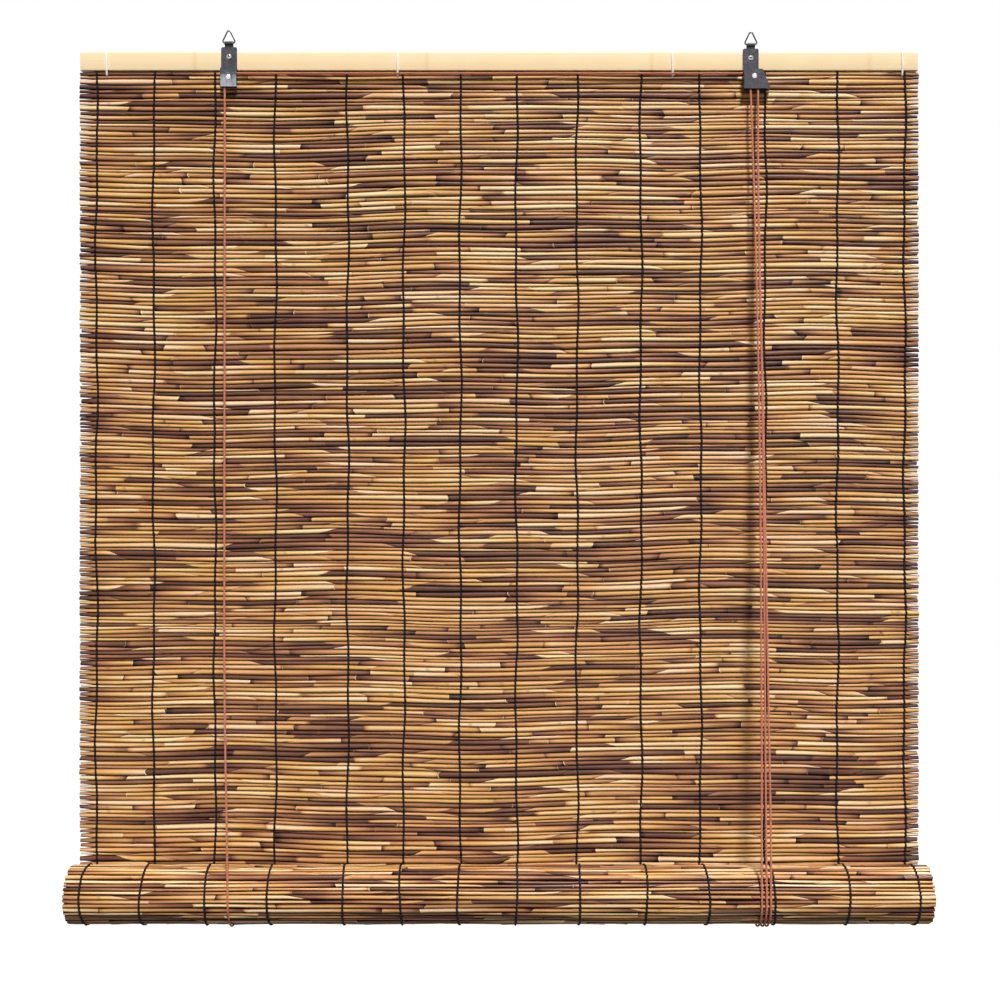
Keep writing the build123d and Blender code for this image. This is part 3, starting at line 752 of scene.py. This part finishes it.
def drawJoin():
    # how two reeds of a row end: out, along (of the radius), size, cut turned outwards, cut turned along
    side = draw.choice((-1, 1))
    if draw.random() < joinLook["overChance"]:
        look, below = joinLook["over"], joinLook["under"]
        over = (look["out"], 0.0, look["size"], draw.uniform(*look["cut"]), draw.normal(0, look["skew"]))
        under = (below["out"], 0.0, below["size"], 0.0, 0.0)
        return (over, under) if side > 0 else (under, over)
    look = joinLook["past"]
    along, skew = look["along"] * side, look["skew"] * side
    first = (look["out"], along, draw.uniform(*look["size"]), draw.uniform(*look["cut"]), skew)
    last = (0.0, -along, draw.uniform(*look["size"]), 0.0, -skew)
    return first, last


def drawLooseEnd(width, side, laying):
    look = joinLook["loose"]
    along, size = draw.normal(0, look["along"]), draw.uniform(*laying["narrow"])
    shape = (0.0, along, size, 0.0, draw.normal(0, look["skew"]))
    return side * (width / 2 - abs(draw.normal(0, laying["ragged"]))), laying["reach"], shape, False


def rowOfReeds(width, laying):  # the two ends of each reed in one row
    joins, place = [], -width / 2 - draw.uniform(0, reedLook["shortest"])
    while True:
        place += reedLook["shortest"] + draw.gamma(reedLook["draws"], reedLook["more"])
        if place > width / 2 - reedLook["shortest"]:
            break
        if place > reedLook["shortest"] - width / 2:
            joins.append((place, draw.uniform(*reedLook["lap"]), *drawJoin()))
    reeds = []
    for number in range(len(joins) + 1):
        if number == 0:
            start = drawLooseEnd(width, -1, laying)
        else:
            place, lap, _, shape = joins[number - 1]
            start = (place - lap / 2, lap, shape, draw.random() < reedLook["tipChance"])
        if number == len(joins):
            end = drawLooseEnd(width, 1, laying)
        else:
            place, lap, shape, _ = joins[number]
            end = (place + lap / 2, lap, shape, draw.random() < reedLook["tipChance"])
        reeds.append((start, end))
    return reeds


def reedStations(start, end, apart):  # places along a reed, closer at its ends and its knuckle
    (first, reach0, *_), (last, reach1, *_) = start, end
    inner = np.linspace(first + reach0, last - reach1, max(2, int((last - first) / apart) + 1))
    tip = reedLook["tip"]
    half0, half1 = (max(reach / 2, reedLook["midTips"] * tip) for reach in (reach0, reach1))
    places = [first, first + tip, first + half0, *inner, last - half1, last - tip, last]
    knuckle = None
    if draw.random() < knuckleLook["chance"]:
        nearest = first + reach0 + knuckleLook["clear"]
        furthest = max(last - reach1 - knuckleLook["clear"], nearest + knuckleLook["least"])
        knuckle = draw.uniform(nearest, furthest)
        places += [knuckle + step for step in knuckleLook["steps"]]
    return np.unique(np.round(places, 6)), knuckle


def addReed(gather, ends, putPlace, rows, row, lie):
    # lie is how far out the row lies and which way its reeds grew
    x, knuckle = reedStations(*ends, rows["station"])
    start, end = ends[0][0], ends[1][0]
    share = (x - start) / (end - start)
    upper, lower = edgeAt(rows, row, x), edgeAt(rows, row + 1, x)
    out, along = lie[0] * np.ones(len(x)), (upper + lower) / 2
    radius = (lower - upper) / 2 * rows["cover"] * (1 + draw.normal(0, reedLook["spread"]))
    grown = share if lie[1] > 0 else 1 - share
    tone = drawTone() + draw.uniform(*reedLook["graded"]) * (grown ** 2 - reedLook["gradeMiddle"])
    tone = tone + rows["darkerFoot"] * row / rows["count"]
    tone = np.minimum(tone, reedLook["darkest"])
    sides = reedLook["sides"]
    turn = 2 * np.pi * np.arange(sides) / sides
    cuts = np.zeros((len(x), sides))
    for station, way, (place, reach, shape, darkTip) in ((0, -1, ends[0]), (-1, 1, ends[1])):
        near = 1 - smooth(np.abs(x - place) / reach)
        out += shape[0] * near
        along += shape[1] * near * (lower - upper) / 2
        radius *= 1 - (1 - shape[2]) * near
        cuts[station] = way * radius[station] * (shape[4] * np.sin(turn) - shape[3] * np.cos(turn))
        # painted shade at a join: the tone darkens towards this tip
        if darkTip:
            tip = 1 - smooth(np.abs(x - place) / (reedLook["darkTips"] * reedLook["tip"]))
            tone = tone + draw.uniform(*reedLook["tipDarker"]) * tip
    swell = np.zeros(len(x))
    if knuckle is not None:
        swell = np.exp(-((x - knuckle) / knuckleLook["width"]) ** 2)
        radius *= 1 + knuckleLook["rise"] * swell
    hue = draw.random()
    data = np.stack([np.clip(tone, 0.0, 1.0), swell, np.zeros(len(x)), np.full(len(x), hue)], axis=1)
    flat = reedLook["flat"] * (1 + draw.normal(0, reedLook["flatSpread"]))
    rings = putPlace(
        x[:, None] + cuts,
        out[:, None] + radius[:, None] * np.cos(turn) * flat,
        along[:, None] + radius[:, None] * np.sin(turn),
    )
    caps = [(np.clip(tone[end], 0, 1), 0.0, draw.choice(reedLook["cutShares"]), hue) for end in (0, -1)]
    addRings(gather, rings, data, caps=caps)


matLow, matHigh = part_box("reed_mat")
matWidth = matHigh.x - matLow.x
battenLow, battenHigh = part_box("head_batten")
matTop = battenLow.z - reedLook["underBatten"]  # the first row lies close under the batten
rowPitch = (matTop - matLow.z) / reedLook["rows"]
matRows = drawRows(reedLook["rows"], matTop - matLow.z, layings["mat"])


def drawLie(laying):
    return draw.normal(0, laying["rough"]), draw.choice((-1, 1))


swayLook = {  # each wave's size, its turn for each metre of x and of z, and where it starts
    "waves": ((0.0020, 5.4, 2.1, 0.6), (0.0013, 13.1, -4.7, 1.3), (0.0006, 29.0, 9.0, 0.0)),
    "calmTop": 0.09, "calmFoot": 0.05,
}


def sway(x, z):  # how far the hung rows leave the level, the same for rows close by
    calm = smooth((matTop - z) / swayLook["calmTop"]) * smooth((z - matLow.z) / swayLook["calmFoot"])
    wave = 0.0
    for size, turnX, turnZ, start in swayLook["waves"]:
        wave = wave + size * np.sin(turnX * x + turnZ * z + start)
    return calm * wave


matStrips = {
    "reed_mat_top": (0, 25), "reed_mat_middle": (25, 107), "reed_mat_foot": (107, reedLook["rows"]),
}
foldRow = matStrips["reed_mat_middle"][0]


def gatherUp(piece):
    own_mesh(piece)


def makeMat():
    for name, (firstRow, endRow) in matStrips.items():
        gather = newGather()
        for row in range(firstRow, endRow):
            level = matTop - rowMiddle(matRows, row)

            def putPlace(x, out, along):
                return np.stack([x, -out, matTop + sway(x, level) - along], axis=-1)

            lie = drawLie(layings["mat"])
            for ends in rowOfReeds(matWidth, layings["mat"]):
                addReed(gather, ends, putPlace, matRows, row, lie)
        piece = makePiece(name, gather, "headrail", "reed_mat", reedMaterial, "reedData")
        if firstRow:
            gatherUp(piece)


makeMat()
print("mat laid")


# Roll: the rest of the mat, wound in four turns, seen from its ends as a spiral of cut reeds

rollLook = {"turnPitch": 0.0053, "halfTurns": 8, "radius": 0.0330, "rowShare": 0.905}


def halfTurnRadius(step):
    return rollLook["radius"] - step * rollLook["turnPitch"] / 2


rollLength = sum(math.pi * halfTurnRadius(step) for step in range(rollLook["halfTurns"]))
rollRows = drawRows(int(rollLength / (rollLook["rowShare"] * rowPitch)), rollLength, layings["roll"])


def rollFrame(travel):  # where the reeds lie and which way is out, so far along the wound mat
    step, length = 0, travel
    while length > math.pi * halfTurnRadius(step) and step < rollLook["halfTurns"] - 1:
        length -= math.pi * halfTurnRadius(step)
        step += 1
    radius = halfTurnRadius(step)
    angle = step * math.pi + length / radius
    centreY = rollAxis[1] - (rollLook["turnPitch"] / 2 if step % 2 else 0.0)
    outY, outZ = math.cos(angle), -math.sin(angle)
    return centreY + radius * outY, rollAxis[2] + radius * outZ, outY, outZ


def makeRoll():
    gather = newGather()
    for row in range(rollRows["count"]):
        travel = rowMiddle(rollRows, row)
        y, z, outY, outZ = rollFrame(travel)

        def putPlace(x, out, along):
            past = along - travel
            return np.stack([x, y + outY * out - outZ * past, z + outZ * out + outY * past], axis=-1)

        lie = drawLie(layings["roll"])
        for ends in rowOfReeds(matWidth, layings["roll"]):
            addReed(gather, ends, putPlace, rollRows, row, lie)
    makePiece("reed_roll_turns", gather, "roll", "reed_roll", reedMaterial, "reedData")


makeRoll()
print("roll wound")


# Warp threads: two strands twined round every reed

twineLook = {
    "strand": 0.00135, "sides": 5, "steps": 5, "sunk": 0.45, "cross": 0.00085, "hug": 0.75,
    "wander": 0.0011, "waves": ((1.0, 0.11, 1.0), (0.7, 0.27, 2.3)), "rolledRows": 49, "rolledSeed": 40,
}


def wanderAt(seed, rows):  # a thread is never quite plumb
    waves = [size * np.sin(rows * often + shift * seed) for size, often, shift in twineLook["waves"]]
    return twineLook["wander"] * sum(waves)


def addTwine(gather, x, firstRow, endRow, seed, rowSet, putPlace):
    rows = np.arange(firstRow * twineLook["steps"], endRow * twineLook["steps"] + 1) / twineLook["steps"]
    heights = np.interp(rows, np.arange(rowSet["count"]) + 0.5, np.diff(edgeAt(rowSet, slice(None), x)))
    out = rowSet["cover"] * reedLook["flat"] * heights / 2 + twineLook["sunk"] * twineLook["strand"]
    wave = -np.cos(np.pi * (rows + 0.5))
    hug = np.sin(np.pi * rows)
    hug = np.sign(hug) * np.abs(hug) ** twineLook["hug"]
    for strand in (-1, 1):
        across = x + wanderAt(seed, rows) + strand * twineLook["cross"] * wave
        line = putPlace(across, strand * out * hug, rows)
        addTube(gather, line, twineLook["strand"], twineLook["sides"], (1, 0, 0))


def lengthAt(rowSet, across, rows):  # a thread's length along the mat, at so many rows
    return np.interp(rows, np.arange(rowSet["count"] + 1), edgeAt(rowSet, slice(None), across.mean()))


def hungPlace(across, out, rows):
    z = matTop - lengthAt(matRows, across, rows)
    return np.stack([across, -out, z + sway(across, z)], axis=-1)


def rolledPlace(across, out, rows):
    points = []
    for x, far, travel in zip(across, out, lengthAt(rollRows, across, rows)):
        y, z, outY, outZ = rollFrame(travel)
        points.append((x, y + outY * far, z + outZ * far))
    return np.array(points)


def makeTwine():
    onRoll = newGather()
    for seed, name in enumerate(sorted(name for name in nodes if name.startswith("warp_thread_"))):
        x = middle(name).x
        for part, firstRow, endRow in (("top", 0, foldRow), ("fold", foldRow, reedLook["rows"])):
            gather = newGather()
            addTwine(gather, x, firstRow, endRow, seed, matRows, hungPlace)
            piece = makePiece(name + "_" + part, gather, "headrail", name, threadMaterial)
            if part == "fold":
                gatherUp(piece)
        rolledSeed = seed + twineLook["rolledSeed"]
        addTwine(onRoll, x, 0, twineLook["rolledRows"], rolledSeed, rollRows, rolledPlace)
    makePiece("roll_threads_twine", onRoll, "roll", "roll_threads", threadMaterial)


makeTwine()
print("threads twined")


# Head batten: a slat of bamboo with faint knuckles, and the white ties that hold the mat to it

battenLook = {
    "knuckles": (-0.361, -0.085, 0.182, 0.441), "rise": 0.0004, "width": 0.0024,
    "knuckleSteps": (-2, -1, -0.5, 0, 0.5, 1, 2),
    "corner": 0.0012, "cornerSteps": 4, "station": 0.008, "endRound": 0.0004,
}


def makeBatten():
    low, high = battenLow, battenHigh
    endRound, width = battenLook["endRound"], battenLook["width"]
    places = list(np.arange(low.x + 2 * endRound, high.x - 2 * endRound, battenLook["station"]))
    for knuckle in battenLook["knuckles"]:
        places += [knuckle + step * width for step in battenLook["knuckleSteps"]]
    x = np.unique(np.round([low.x, low.x + endRound, *places, high.x - endRound, high.x], 6))
    near = np.zeros(len(x))
    for knuckle in battenLook["knuckles"]:
        near = np.maximum(near, np.exp(-((x - knuckle) / width) ** 2))
    section = []
    halfY, halfZ, corner = (high.y - low.y) / 2, (high.z - low.z) / 2, battenLook["corner"]
    for quarter, (signY, signZ) in enumerate(((1, 1), (-1, 1), (-1, -1), (1, -1))):
        for step in range(battenLook["cornerSteps"] + 1):
            turn = (quarter + step / battenLook["cornerSteps"]) * math.pi / 2
            section.append((signY * (halfY - corner) + corner * math.cos(turn),
                            signZ * (halfZ - corner) + corner * math.sin(turn)))
    section = np.array(section)
    shrink = np.where((x < low.x + endRound / 2) | (x > high.x - endRound / 2), endRound, 0.0)
    centre = (low + high) / 2
    sizeY = 1 + (battenLook["rise"] * near - shrink) / halfY
    sizeZ = 1 - shrink / halfZ
    rings = np.zeros((len(x), len(section), 3))
    rings[:, :, 0] = x[:, None]
    rings[:, :, 1] = centre.y + section[None, :, 0] * sizeY[:, None]
    rings[:, :, 2] = centre.z + section[None, :, 1] * sizeZ[:, None]
    gather = newGather()
    addRings(gather, rings, np.repeat(near[:, None], 4, axis=1))
    makePiece("head_batten_slat", gather, "headrail", "head_batten", bambooMaterial,
              "battenData")


makeBatten()

tieLook = {"strand": 0.00062, "sides": 8, "apart": 0.00056, "slant": (-0.0009, 0.0009), "cornerSteps": 5}


def makeTie(node):  # two turns side by side, over the batten and under the first reed
    strand, steps = tieLook["strand"], tieLook["cornerSteps"]
    reedDeep = matRows["cover"] * matRows["begins"][1] / 2 + strand
    reedZ = matTop - rowMiddle(matRows, 0)
    corner = battenLook["corner"] + strand
    halfWay, face = (battenLow.z + battenHigh.z) / 2, battenHigh.y + strand
    outline = []
    for quarter, sign in enumerate((1, -1)):
        for step in range(steps + 1):
            turn = (quarter + step / steps) * math.pi / 2
            outline.append((sign * (battenHigh.y - battenLook["corner"]) + corner * math.cos(turn),
                            battenHigh.z - battenLook["corner"] + corner * math.sin(turn)))
    outline += [(-face, halfWay), (-face, battenLow.z + strand)]
    for step in range(2 * steps + 1):
        turn = math.pi * (1 + step / (2 * steps))
        outline.append((reedDeep * math.cos(turn), reedZ + reedDeep * math.sin(turn)))
    outline += [(face, battenLow.z + strand), (face, halfWay)]
    outline = np.array(outline)
    lean = draw.uniform(*tieLook["slant"])
    share = (outline[:, 1] - battenHigh.z) / (battenHigh.z - reedZ)
    gather = newGather()
    for side in (-1, 1):
        line = np.column_stack([middle(node).x + side * tieLook["apart"] + lean * share, outline])
        addTube(gather, line, strand, tieLook["sides"], (1, 0, 0), closed=True)
    makePiece(node + "_turns", gather, "headrail", node, tieMaterial)


for number in range(1, 5):
    makeTie(f"head_tie_{number}")
print("batten and ties made")


# Hardware that keeps its solids, with softened edges

hardware = {
    "straps": (strapMaterial, "zinc_steel", ("left_hanger_strap", "right_hanger_strap", "lock_housing")),
    "housing": (housingMaterial, "zinc_steel", ("left_pulley_housing",)),
    "rings": (ringMaterial, "bright_steel", ("left_hang_ring", "right_hang_ring")),
    "heads": (headMaterial, "bright_steel", ("left_pulley_pin", "lock_pulley_pin", "left_cord_staple",
                                             "right_cord_staple")),
    "wheels": (brassMaterial, "brass", ("left_pulley", "lock_pulley", "lock_roller")),
}
softEdges = {"width": 0.00030, "segments": 2, "angle": 40.0, "on": ("straps", "housing")}


def softenEdges(piece):
    bevel = piece.modifiers.new("soft edges", "BEVEL")
    bevel.width = softEdges["width"]
    bevel.segments = softEdges["segments"]
    bevel.limit_method = "ANGLE"
    bevel.angle_limit = math.radians(softEdges["angle"])


for side in ("left", "right"):
    screw = side + "_strap_screw"
    steel = makeMetalMaterial(screw + "_steel", screwFinish["shade"], screwFinish["worn"],
                              screwFinish["roughness"], screw)
    hardware[screw] = (steel, "bright_steel", (screw,))
for group, (material, slotName, names) in hardware.items():
    for name in names:
        nodes[name].data.materials.clear()
        nodes[name].data.materials.append(material)
        if group in softEdges["on"]:
            softenEdges(nodes[name])
print("hardware painted")


# Stage: white surround for the camera and for reflections, soft light from above the front and the back

stageLook = {
    "floor": -1.75, "size": 7.0, "fill": 0.12, "floorShade": 0.25, "floorSeen": 0.95, "floorBounce": 0.08,
    "floorRough": 0.9, "floorGloss": 0.1,
}
lamps = {
    "front": {"strength": 4.35, "angle": 9.0, "elevation": 52.0, "side": 12.0},
    "back": {"strength": 3.4, "angle": 14.0, "elevation": 44.0, "side": 152.0},
}


def backgroundRays(tree):  # 1 where the camera or a reflection looks, 0 for light
    rays = addNode(tree, "ShaderNodeLightPath").outputs
    seen = math2(tree, "MAXIMUM", rays["Is Camera Ray"], rays["Is Glossy Ray"])
    return math2(tree, "MAXIMUM", seen, rays["Is Transmission Ray"])


def eitherShader(tree, share, first, second, output):
    either = addNode(tree, "ShaderNodeMixShader")
    for socket, value in zip(either.inputs, (share, first.outputs[0], second.outputs[0])):
        tree.links.new(value, socket)
    tree.links.new(either.outputs[0], tree.nodes[output].inputs["Surface"])


def makeWorld():
    world = bpy.data.worlds.new("surround")
    bpy.context.scene.world = world
    world.use_nodes = True
    tree = world.node_tree
    dim = feed(tree, addNode(tree, "ShaderNodeBackground"), Color=(1, 1, 1, 1), Strength=stageLook["fill"])
    full = feed(tree, addNode(tree, "ShaderNodeBackground"), Color=(1, 1, 1, 1), Strength=1.0)
    eitherShader(tree, backgroundRays(tree), dim, full, "World Output")


def makeFloor():
    half, level = stageLook["size"] / 2, stageLook["floor"]
    mesh = bpy.data.meshes.new("floor")
    corners = [(-half, -half, level), (half, -half, level), (half, half, level), (-half, half, level)]
    mesh.from_pydata(corners, [], [(0, 1, 2, 3)])
    floor = bpy.data.objects.new("floor", mesh)
    bpy.context.scene.collection.objects.link(floor)
    material, tree, shader = newMaterial("pale_floor")
    seen = backgroundRays(tree)
    dim, pale = stageLook["floorBounce"], stageLook["floorSeen"]
    shade = mix(tree, seen, (dim, dim, dim, 1), (pale, pale, pale, 1))
    feed(tree, shader, Base_Color=shade, Roughness=stageLook["floorRough"],
         Specular_IOR_Level=stageLook["floorGloss"])
    share = math2(tree, "MULTIPLY", seen, 1 - stageLook["floorShade"])
    glow = feed(tree, addNode(tree, "ShaderNodeEmission"), Color=(1, 1, 1, 1), Strength=1.0)
    eitherShader(tree, share, shader, glow, "Material Output")
    mesh.materials.append(material)


def makeLamp(name, look):
    lamp = bpy.data.lights.new(name, "SUN")
    lamp.energy = look["strength"]
    lamp.angle = math.radians(look["angle"])
    holder = bpy.data.objects.new(name, lamp)
    holder.rotation_euler = (math.radians(90 - look["elevation"]), 0, math.radians(look["side"]))
    bpy.context.scene.collection.objects.link(holder)


makeWorld()
makeFloor()
for name, look in lamps.items():
    makeLamp(name, look)
bpy.context.scene.view_settings.view_transform = "Standard"
counts = triangleCounts.values()
print("stage set,", sum(counts), "triangles,", max(counts), "at most in a piece")
